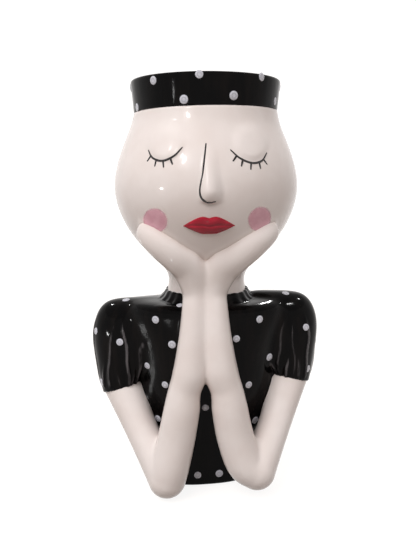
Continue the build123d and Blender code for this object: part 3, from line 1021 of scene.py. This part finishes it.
LASH_LENGTH = 3.9
LASH_SHARES = 100
EYES = {
    -1: {"line": [(-14.4, 95.9), (-19.4, 91), (-26, 88.4), (-31.6, 90.2), (-34.1, 94.6)],
         "lashes": [(0.33, -20), (0.48, -4), (0.64, 14), (0.82, 36)]},
    1: {"line": [(11.8, 94.4), (17.4, 89.6), (24.3, 87), (30.2, 88.2), (33.6, 92.8)],
        "lashes": [(0.17, -37), (0.31, -15), (0.48, -5), (0.67, 12), (0.81, 38)]},
}
LINE_WIDTHS = [0.38, 0.62, 0.7, 0.66, 0.4]
LASH_WIDTHS = [0.66, 0.6, 0.42]
NOSE_LINE = [(-1.5, 98), (-2.5, 90), (-3.7, 81), (-5.3, 72.6), (-4.3, 68), (-0.8, 65.6), (3.6, 66.2)]
NOSE_WIDTHS = [0.44, 0.55, 0.6, 0.66, 0.85, 0.9, 0.5]


def closed_eye(side, name):
    eye = EYES[side]
    lines = [stroke(eye["line"], LINE_WIDTHS)]
    path = smooth_path([Vector(point) for point in eye["line"]], LASH_SHARES + 1)
    for share, lean in eye["lashes"]:
        root = path[round(share * LASH_SHARES)]
        turn = math.radians(lean)
        tip = root + LASH_LENGTH * Vector((side * math.sin(turn), -math.cos(turn)))
        lines.append(stroke([tuple(root), tuple((root + tip) / 2), tuple(tip)], LASH_WIDTHS))
    return join(name, lines)


eyes = both(closed_eye, "_eye_line")
nose = stroke(NOSE_LINE, NOSE_WIDTHS)
nose.name = "nose_stroke"
print("lines", [len(piece.data.polygons) for piece in (*eyes.values(), nose)], "faces")

# %% [markdown]
# The cheeks are discs of pink stain under the glaze, with a soft rim. Stain has no thickness to speak of,
# so each is a thin patch that follows the head. Rings of a disc are dropped onto the surface, and the
# distance from its centre is kept as an attribute that fades the rim. It casts no shadow, because a faded
# rim would still darken the glaze below it.

# %% Blush
BLUSH = {-1: (-30.8, 54.7), 1: (29.5, 55.1)}
BLUSH_RADIUS = 8.3
BLUSH_PROUD = 0.07 * MM
BLUSH_THICK = 0.25 * MM
BLUSH_RINGS = 14
BLUSH_SIDES = 56
RING = "ring"


def ring_attribute(piece, shares):
    data = piece.data.attributes.new(RING, "FLOAT", "POINT").data
    for index, share in enumerate(shares):
        data[index].value = share


def blush(side, name):
    x, height = BLUSH[side]
    centre = Vector((x * MM, 0, rise(height)))
    begin()
    bpy.ops.mesh.primitive_circle_add(
        vertices=BLUSH_SIDES, radius=BLUSH_RADIUS * MM, fill_type="NGON", location=centre,
        rotation=(math.pi / 2, 0, 0))
    bpy.ops.object.transform_apply(location=True, rotation=True)
    piece = take_name(name)
    bpy.ops.object.mode_set(mode="EDIT")
    bpy.ops.mesh.select_all(action="SELECT")
    for _ in range(BLUSH_RINGS - 1):
        bpy.ops.mesh.inset(thickness=BLUSH_RADIUS * MM / BLUSH_RINGS)
    bpy.ops.mesh.poke()
    bpy.ops.object.mode_set(mode="OBJECT")
    shares = []
    for vertex in piece.data.vertices:
        shares.append((vertex.co - centre).length / (BLUSH_RADIUS * MM))
        place, normal = on_face(vertex.co.x, vertex.co.z)
        vertex.co = place + normal * BLUSH_PROUD
    ring_attribute(piece, shares)
    apply(piece, "SOLIDIFY", thickness=BLUSH_THICK, offset=-1)
    piece.visible_shadow = False
    return piece


cheeks = both(blush, "_cheek")
print("cheeks", [len(piece.data.polygons) for piece in cheeks.values()], "faces")

# %% [markdown]
# The polka dots are drops of thick pale enamel, laid on with a round tool that leaves a faint ring. One drop
# is modelled, a flattened ball with a dimple, and copied: to the places that the picture shows and, where
# the camera does not look, to those of the construction model. Each is turned to the surface below it.

# %% Dots
DOT_RADIUS = 2.45 * MM
DOT_PROUD = 0.5 * MM
DOT_SINK = 0.35 * MM
DOT_APART = 8 * MM
DOT_UNEVEN = 0.06
DROP_SEGMENTS = 24
DROP_RINGS = 14
DIMPLE_DEPTH = 0.22
DIMPLE_WIDTH = 0.3
RING_RAISE = 0.1
RING_AT = 0.55
RING_WIDTH = 0.15


def islands(node):
    """The middle of each loose solid of a construction node."""
    mesh = bmesh.new()
    mesh.from_mesh(node.data)
    bmesh.ops.remove_doubles(mesh, verts=mesh.verts, dist=SEAM_MERGE)
    middles, seen = [], set()
    for start in mesh.verts:
        if start in seen:
            continue
        group, todo = [], [start]
        seen.add(start)
        while todo:
            vertex = todo.pop()
            group.append(vertex.co.copy())
            for edge in vertex.link_edges:
                other = edge.other_vert(vertex)
                if other not in seen:
                    seen.add(other)
                    todo.append(other)
        middles.append(sum(group, Vector()) / len(group))
    mesh.free()
    return middles


def drop(name, radius):
    """One drop of enamel at the origin, dimpled, with its distance from the middle as an attribute."""
    begin()
    bpy.ops.mesh.primitive_uv_sphere_add(segments=DROP_SEGMENTS, ring_count=DROP_RINGS, radius=1)
    piece = take_name(name)
    shares = []
    for vertex in piece.data.vertices:
        share = vertex.co.xy.length
        shares.append(share)
        dimple = DIMPLE_DEPTH * math.exp(-(share / DIMPLE_WIDTH) ** 2)
        dimple -= RING_RAISE * math.exp(-((share - RING_AT) / RING_WIDTH) ** 2)
        height = DOT_PROUD * (vertex.co.z - dimple) if vertex.co.z > 0 else DOT_SINK * vertex.co.z
        vertex.co = Vector((vertex.co.x * radius, vertex.co.y * radius, height))
    ring_attribute(piece, shares)
    return piece


def hidden(place):
    """Whether some piece stands between the camera and a place."""
    reach = place - camera_place
    hits = [skin.ray_cast(camera_place, reach.normalized())[3] for skin in skins.values()]
    return any(hit is not None and hit < reach.length - MM for hit in hits)


def first_met(surfaces, look):
    """The surface that a look from the camera meets first, with the place and normal there, or None."""
    hits = {name: skin.ray_cast(camera_place, look) for name, skin in surfaces.items()}
    met = [name for name in hits if hits[name][0] is not None]
    if not met:
        return None
    host = min(met, key=lambda name: hits[name][3])
    return host, *hits[host][:2]


def dot_places():
    """For each host: the dots that the camera sees, then those of the construction model that it misses."""
    places = {host: [] for host in DOT_HOSTS}
    for pixel in SEEN_DOTS:
        met = first_met({host: skins[host] for host in DOT_HOSTS}, sight(*pixel))
        if met:
            places[met[0]].append(met[1:])
    for host, node in DOT_HOSTS.items():
        for middle in islands(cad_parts[node]):
            place, normal, _, _ = skins[host].find_nearest(middle)
            taken = any((place - other).length < DOT_APART for other, _ in places[host])
            if hidden(place) and not taken:
                places[host].append((place, normal))
    return places


def dots(name, places):
    """Copies of the drop, one at each place."""
    copies = []
    model = drop("drop", DOT_RADIUS)
    for index, (place, normal) in enumerate(places):
        copy = copy_of(model, "drop")
        size = 1 + DOT_UNEVEN * math.sin(5 * index)
        turn = normal.to_track_quat("Z", "Y").to_matrix().to_4x4()
        copy.data.transform(Matrix.Translation(place) @ turn @ Matrix.Scale(size, 4))
        copies.append(copy)
    bpy.data.objects.remove(model)
    return join(name, copies)


DOT_HOSTS = {
    "band": "rim_dots", "bodice": "bodice_dots", "left_cap": "left_sleeve_dots",
    "right_cap": "right_sleeve_dots",
}
SEEN_DOTS = [
    (153.3, 80.4), (199.2, 74.2), (261.6, 76.8), (183.9, 99.4), (233.7, 95.5), (137.2, 107.5), (275, 101.3),
    (126.1, 299.9), (119.8, 342.1), (95.9, 331), (102, 382.3), (285.6, 293.2), (305.9, 327.2), (308, 368.7),
    (155.5, 319.8), (147.2, 365.7), (165.1, 384.8), (172, 344.6), (180, 305.2), (157.9, 418.4),
    (205.5, 407.6), (197.7, 475.1), (219.3, 473.5), (255, 420.1), (248.7, 384.8), (236.4, 338.8),
    (259.6, 319.3), (269.4, 357.1), (229.8, 300.2),
]
solids = {"band": band, "bodice": bodice, "left_cap": sleeves[-1], "right_cap": sleeves[1]}
solids.update({"head": head, "collar": collar, "left_arm": arms[-1], "right_arm": arms[1]})
skins = {name: skin_of(solid) for name, solid in solids.items()}
places = dot_places()
drops = {host: dots(host + "_drops", places[host]) for host in DOT_HOSTS}
print("drops", {host: len(found) for host, found in places.items()})

# %% [markdown]
# The drain plug is a moulded rubber stopper with a grip, hidden in the bowl. Moulded rubber has rounded
# edges everywhere, so its outline is turned and the subdivision surface rounds each corner by the distance
# of the points beside it.

# %% Drain plug
PLUG_STEPS = 40
PLUG_EDGE = 0.5 * MM
PLUG_CLEAR = 0.12 * MM
FLANGE_THICK = 2.5 * MM
GRIP_SIDE = 1.5 * MM
plug_low, plug_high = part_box("drain_plug")
plug_flange = plug_high.x
plug_stem = drain - PLUG_CLEAR
grip_top = plug_high.z
flange_top = bowl_floor + FLANGE_THICK
grip_waist = 2.4 * MM
grip_radius = 4 * MM
outline = [
    (0, plug_low.z), (plug_stem - PLUG_EDGE, plug_low.z), (plug_stem, plug_low.z + PLUG_EDGE),
    (plug_stem, bowl_floor - PLUG_EDGE / 4), (plug_stem + PLUG_EDGE / 4, bowl_floor),
    (plug_flange - PLUG_EDGE, bowl_floor), (plug_flange, bowl_floor + PLUG_EDGE),
    (plug_flange, flange_top - PLUG_EDGE), (plug_flange - PLUG_EDGE, flange_top),
    (grip_waist + PLUG_EDGE, flange_top), (grip_waist, flange_top + PLUG_EDGE),
    (grip_waist, grip_top - grip_radius - PLUG_EDGE),
    (grip_radius - PLUG_EDGE, grip_top - grip_radius + PLUG_EDGE),
    (grip_radius, grip_top - GRIP_SIDE), (grip_radius, grip_top - PLUG_EDGE),
    (grip_radius - PLUG_EDGE, grip_top), (0, grip_top),
]
plug = turn_outline("stopper", outline, PLUG_STEPS)
apply(plug, "SUBSURF", levels=2, render_levels=2)
print("plug", len(plug.data.polygons), "faces")

# %% [markdown]
# A finish is a small network of nodes. Written node by node it is hard to read, so a class wraps a socket:
# sums and products of wires add the Math nodes that do them, and one method adds any other node.

# %% Wires
class Wire:
    """One output socket in a material, with arithmetic."""

    def __init__(self, tree, socket=None):
        self.tree = tree
        self.socket = socket

    def node(self, kind, settings=None, sockets=None, output=0):
        """Adds a node, sets it up, feeds its sockets and gives a wire from one of its outputs."""
        made = self.tree.nodes.new(kind)
        for key, value in (settings or {}).items():
            if key == "stops":
                for index, (place, colour) in enumerate(value):
                    stop = made.color_ramp.elements[index]
                    stop.position, stop.color = place, colour
            else:
                setattr(made, key, value)
        for key, value in (sockets or {}).items():
            if isinstance(value, Wire):
                self.tree.links.new(value.socket, made.inputs[key])
            else:
                made.inputs[key].default_value = value
        return Wire(self.tree, made.outputs[output])

    def maths(self, operation, first, second):
        return self.node("ShaderNodeMath", {"operation": operation}, {0: first, 1: second})

    def __add__(self, other):
        return self.maths("ADD", self, other)

    __radd__ = __add__

    def __mul__(self, other):
        return self.maths("MULTIPLY", self, other)

    __rmul__ = __mul__

    def __sub__(self, other):
        return self.maths("SUBTRACT", self, other)

    def __rsub__(self, other):
        return self.maths("SUBTRACT", other, self)

    def ramp(self, low, high):
        """0 below low, 1 above high, and smooth between."""
        sockets = {"Value": self, "From Min": low, "From Max": high}
        settings = {"interpolation_type": "SMOOTHSTEP"}
        return self.node("ShaderNodeMapRange", settings, sockets)

    def mix(self, first, second):
        """A colour between two colours."""
        sockets = {"Factor": self, 6: first, 7: second}
        return self.node("ShaderNodeMix", {"data_type": "RGBA"}, sockets, 2)

    def place(self):
        return self.node("ShaderNodeTexCoord", output="Object")

    def noise(self, scale, detail=2.0, stretch=(1, 1, 1)):
        """Soft noise with features of about 1/scale metres, stretched along an axis."""
        where = self.node("ShaderNodeMapping", None, {"Vector": self.place(), "Scale": stretch})
        return self.node("ShaderNodeTexNoise", None, {"Vector": where, "Scale": scale, "Detail": detail})

    def attribute(self, name):
        return self.node("ShaderNodeAttribute", {"attribute_name": name}, None, "Fac")


def linear(red, green, blue):
    """A colour as a screen shows it, from 0 to 255, as the linear value that a shader takes."""
    channels = []
    for value in (red / 255, green / 255, blue / 255):
        channels.append(value / 12.92 if value <= 0.04045 else ((value + 0.055) / 1.055) ** 2.4)
    return (*channels, 1)


def finish(name, fixed):
    """A new material with the shader's constant sockets set, and a loose wire to build from."""
    material = bpy.data.materials.new(name)
    material.use_nodes = True
    shader = material.node_tree.nodes["Principled BSDF"]
    for key, value in fixed.items():
        shader.inputs[key].default_value = value
    return material, shader, Wire(material.node_tree)


def feed(shader, **wires):
    """Joins wires to the shader's sockets, named with underscores for spaces."""
    for key, wire in wires.items():
        wire.tree.links.new(wire.socket, shader.inputs[key.replace("_", " ")])


def bump(wire, height, distance, strength):
    return wire.node("ShaderNodeBump", None, {"Height": height, "Distance": distance, "Strength": strength})


# %% [markdown]
# The white glaze is warm and glossy, never quite even: it carries a few iron specks, waves slowly like any
# poured glass and is painted darker in the seams, as shade, from the closeness kept at the luting. Soft
# noises on object coordinates give the tone, the specks and the waves at their real scale.

# %% White glaze
def white_glaze():
    fixed = {"Coat Weight": 0.3, "Coat Roughness": 0.05, "Coat IOR": 1.5, "Specular IOR Level": 0.2}
    material, shader, wire = finish("white_glaze", fixed)
    cloud = wire.noise(38, 3).ramp(0.3, 0.7)
    colour = cloud.mix(linear(231, 219, 214), linear(238, 228, 224))
    speck = wire.noise(1500, 1).ramp(0.77, 0.83) * wire.noise(90, 1).ramp(0.45, 0.6)
    colour = (speck * 0.55).mix(colour, linear(150, 122, 100))
    # painted shade: the seams are darkened to stand for the shade that falls in the creases
    seam_shade = wire.attribute(SEAM).ramp(0.35, 1)
    colour = (seam_shade * 0.15).mix(colour, linear(186, 160, 144))
    waves = wire.noise(45, 2) + wire.noise(420, 1) * 0.06
    feed(shader, Base_Color=colour, Roughness=wire.noise(70, 2) * 0.1 + 0.2)
    feed(shader, Normal=bump(wire, waves, 0.0006, 0.35))
    return material


# %% [markdown]
# The black glaze is a deep iron black with faint brown upright streaks, which are painted reflection. On the
# crests of the folds it turns grey: partly glaze that breaks thin there, partly a painted highlight for the
# lamps that the crests mirror. A pointiness node could find the crests, but it depends on the mesh, so the
# fold height that was kept as an attribute drives the colour.

# %% Black glaze
def black_glaze():
    fixed = {"Specular IOR Level": 0.06, "IOR": 1.5}
    material, shader, wire = finish("black_glaze", fixed)
    # painted reflection: faint brown upright streaks stand for what the black glaze mirrors
    reflection_streak = wire.noise(160, 3, (1, 1, 0.18)).ramp(0.4, 0.75)
    colour = (reflection_streak * 0.8).mix((0.002, 0.0018, 0.002, 1), (0.007, 0.005, 0.0045, 1))
    # partly the glaze breaking thin on the fold crests, partly a painted highlight where the crests mirror
    # lamps
    crest = wire.attribute(CREST).ramp(0.35, 0.85) * wire.noise(240, 2, (1, 1, 0.3)).ramp(0.25, 0.6)
    colour = (crest * 0.8).mix(colour, linear(104, 100, 102))
    waves = wire.noise(60, 2) + wire.noise(150, 2, (1, 1, 0.25)) * 0.35
    feed(shader, Base_Color=colour, Roughness=wire.noise(120, 2) * 0.1 + 0.05)
    feed(shader, Normal=bump(wire, waves, 0.0008, 0.4))
    return material


# %% [markdown]
# The enamels are painted over the glaze. Red lips vary with the brush, the pink is a matt stain under the
# glaze that fades at its rim, the brush lines are near black, and the drops keep the tool's ring.

# %% Enamels and rubber
def red_enamel():
    fixed = {"Coat Weight": 0.3, "Coat Roughness": 0.04, "Specular IOR Level": 0.08}
    material, shader, wire = finish("red_enamel", fixed)
    brush = wire.noise(320, 3, (0.35, 1, 1)).ramp(0.35, 0.7)
    colour = brush.mix(linear(152, 12, 36), linear(176, 24, 48))
    feed(shader, Base_Color=colour, Roughness=wire.noise(250, 2) * 0.12 + 0.16)
    feed(shader, Normal=bump(wire, wire.noise(300, 2), 0.0003, 0.3))
    return material


def pink_underglaze():
    fixed = {"Coat Weight": 0.45, "Coat Roughness": 0.05, "Specular IOR Level": 0.2}
    material, shader, wire = finish("pink_underglaze", fixed)
    mottle = wire.noise(260, 3).ramp(0.3, 0.72)
    colour = mottle.mix(linear(217, 157, 172), linear(227, 173, 186))
    edge = wire.attribute(RING) + wire.noise(220, 2) * 0.12
    feed(shader, Base_Color=colour, Alpha=(1 - edge.ramp(0.78, 1.02)) * 0.96)
    feed(shader, Roughness=wire.noise(90, 2) * 0.1 + 0.2)
    return material


def line_enamel():
    material, shader, wire = finish("line_enamel", {"IOR": 1.5})
    drag = wire.noise(700, 3).ramp(0.45, 0.8)
    colour = (drag * 0.7).mix(linear(24, 20, 22), linear(58, 46, 44))
    feed(shader, Base_Color=colour, Roughness=wire.noise(400, 2) * 0.2 + 0.2)
    return material


def dot_enamel():
    fixed = {"Coat Weight": 0.3, "Coat Roughness": 0.08, "IOR": 1.5}
    material, shader, wire = finish("dot_enamel", fixed)
    ring = wire.attribute(RING)
    tool_mark = ring.ramp(0.28, 0.45) * (1 - ring.ramp(0.5, 0.68))
    grain = wire.noise(900, 3).ramp(0.35, 0.7)
    colour = grain.mix(linear(196, 196, 205), linear(214, 214, 222))
    colour = (tool_mark * 0.5).mix(colour, linear(150, 150, 160))
    colour = (ring.ramp(0.86, 1) * 0.6).mix(colour, linear(120, 120, 130))
    feed(shader, Base_Color=colour, Roughness=wire.noise(500, 2) * 0.2 + 0.25)
    return material


def plug_rubber():
    material, shader, wire = finish("plug_rubber", {"IOR": 1.5, "Specular IOR Level": 0.3})
    dust = wire.noise(240, 4).ramp(0.4, 0.8)
    colour = (dust * 0.5).mix((0.018, 0.018, 0.019, 1), (0.05, 0.048, 0.046, 1))
    feed(shader, Base_Color=colour, Roughness=wire.noise(500, 2) * 0.2 + 0.5)
    feed(shader, Normal=bump(wire, wire.noise(1400, 2), 0.0001, 0.4))
    return material


# %% [markdown]
# The paper of the tent should look white to the camera and in the glaze, and still take the shadow. More
# light would burn out the pale glaze, so the paper glows for camera, glossy and transmission rays alone, a
# little less near the planter, and is a darker sheet to all other light.

# %% Paper
PAPER_NEAR = 0.87
PAPER_FADE = (0.3, 1.2)
SEEN_RAYS = ("Is Camera Ray", "Is Glossy Ray", "Is Transmission Ray")


def paper():
    material, shader, wire = finish("paper", {"Roughness": 0.9, "Specular IOR Level": 0.1})
    tone = wire.noise(6, 2).ramp(0.3, 0.7)
    feed(shader, Base_Color=tone.mix((0.24, 0.21, 0.19, 1), (0.26, 0.23, 0.21, 1)))
    camera_ray, glossy_ray, through_ray = [wire.node("ShaderNodeLightPath", output=ray) for ray in SEEN_RAYS]
    seen = camera_ray + glossy_ray + through_ray
    away = wire.node("ShaderNodeVectorMath", {"operation": "LENGTH"}, {0: wire.place()}, "Value")
    far = away.ramp(*PAPER_FADE)
    lift = far.mix((PAPER_NEAR, PAPER_NEAR, PAPER_NEAR, 1), (1, 1, 1, 1))
    shader.inputs["Emission Strength"].default_value = 1
    feed(shader, Emission_Color=seen.mix((0, 0, 0, 1), lift))
    return material


# %% [markdown]
# Each piece now gets its finish and smooth shading and rides on a body, and the construction node that it
# stands in for is hidden. Only the plug rides on a body of its own.

# %% Dress the pieces
finishes = {
    "white_glaze": white_glaze(),
    "black_glaze": black_glaze(),
    "red_enamel": red_enamel(),
    "pink_underglaze": pink_underglaze(),
    "line_enamel": line_enamel(),
    "dot_enamel": dot_enamel(),
    "plug_rubber": plug_rubber(),
}
floor.data.materials.append(paper())
SHARP = math.radians(50)


def hand_over(piece, slot, body, node):
    """Gives a piece its finish and smooth shading, and ties it to the frame."""
    pick(piece)
    piece.data.materials.clear()
    piece.data.materials.append(finishes[slot])
    bpy.ops.object.shade_smooth_by_angle(angle=SHARP)
    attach(piece, body)
    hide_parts(node)


hand_over(head, "white_glaze", "planter", "head_pot")
hand_over(band, "black_glaze", "planter", "rim_band")
hand_over(collar, "black_glaze", "planter", "collar")
hand_over(bodice, "black_glaze", "planter", "bodice")
hand_over(lips, "red_enamel", "planter", "lips")
hand_over(nose, "line_enamel", "planter", "nose_line")
hand_over(plug, "plug_rubber", "plug", "drain_plug")
for host, node in DOT_HOSTS.items():
    hand_over(drops[host], "dot_enamel", "planter", node)
for side, word in SIDES.items():
    hand_over(arms[side], "white_glaze", "planter", word + "_arm")
    hand_over(sleeves[side], "black_glaze", "planter", word + "_sleeve")
    hand_over(eyes[side], "line_enamel", "planter", word + "_lashes")
    hand_over(cheeks[side], "pink_underglaze", "planter", word + "_blush")
print("finishes", len(finishes))

# %% [markdown]
# Studio light: a broad key from the upper left, a weaker fill and a back light give the soft shades. Their
# mirror image would lie as grey discs on black glaze, so glossy rays pass them by. The bright points that a
# glaze shows come from small lamps, each set where the glaze mirrors it to a chosen point of the picture,
# and linked to that one piece, so that no other piece mirrors it or stands in its way.

# %% Light
LAMPS = {
    "key": ((-0.9, -1.0, 1.5), 1.5, 28.5),
    "fill": ((1.1, -0.9, 0.8), 1.2, 4.0),
    "back": ((0.3, 0.9, 1.4), 0.9, 8.0),
}
GLINTS = [
    (181.9, 154.9, 0.06), (171.2, 148.8, 0.03), (186.8, 112.1, 0.035), (162, 189.4, 0.04),
    (167.1, 321.1, 0.08), (143, 328.9, 0.07), (107.9, 333.8, 0.08), (112.3, 304.8, 0.07),
    (288.6, 304, 0.08), (298.9, 299, 0.06), (253.3, 299.2, 0.06), (216.4, 226.4, 0.03),
    (173.5, 99.8, 0.02), (171.2, 259.8, 0.02), (157.5, 445, 0.03), (242.5, 469.5, 0.02),
]
GLINT_REACH = 1.2
GLINT_GLOW = 230
SKY_COLOUR = (1, 0.98, 0.97, 1)
SKY_STRENGTH = 0.72


def add_lamp(name, place, target, size, power):
    begin()
    turn = (target - place).to_track_quat("-Z", "Y").to_euler()
    bpy.ops.object.light_add(type="AREA", location=place, rotation=turn)
    lamp = bpy.context.object
    lamp.name = name
    lamp.data.shape = "DISK"
    lamp.data.size = size
    lamp.data.energy = power
    return lamp


aim = Vector((0, 0, rim_height / 2))
for name, (place, size, power) in LAMPS.items():
    add_lamp(name, Vector(place), aim, size, power).visible_glossy = False
glazed = {**solids, "lips": lips}
glazed_skins = {**skins, "lips": skin_of(lips)}
receivers = {name: bpy.data.collections.new(f"glint_on_{name}") for name in glazed}
for name, piece in glazed.items():
    receivers[name].objects.link(piece)
for index, (across, down, size) in enumerate(GLINTS):
    look = sight(across, down)
    host, place, normal = first_met(glazed_skins, look)
    lamp_place = place + look.reflect(normal) * GLINT_REACH
    power = GLINT_GLOW * math.pi * math.pi * size ** 2 / 4
    lamp = add_lamp(f"glint_{index}", lamp_place, place, size, power)
    lamp.visible_diffuse = False
    lamp.visible_camera = False
    lamp.light_linking.receiver_collection = receivers[host]
    lamp.light_linking.blocker_collection = receivers[host]
    print(lamp.name, "on", host, [round(value, 2) for value in lamp_place])
world = bpy.data.worlds.new("studio")
bpy.context.scene.world = world
world.use_nodes = True
sky = world.node_tree.nodes["Background"]
sky.inputs["Color"].default_value = SKY_COLOUR
sky.inputs["Strength"].default_value = SKY_STRENGTH
bpy.context.scene.view_settings.view_transform = "Standard"
print("lamps", len(LAMPS) + len(GLINTS))
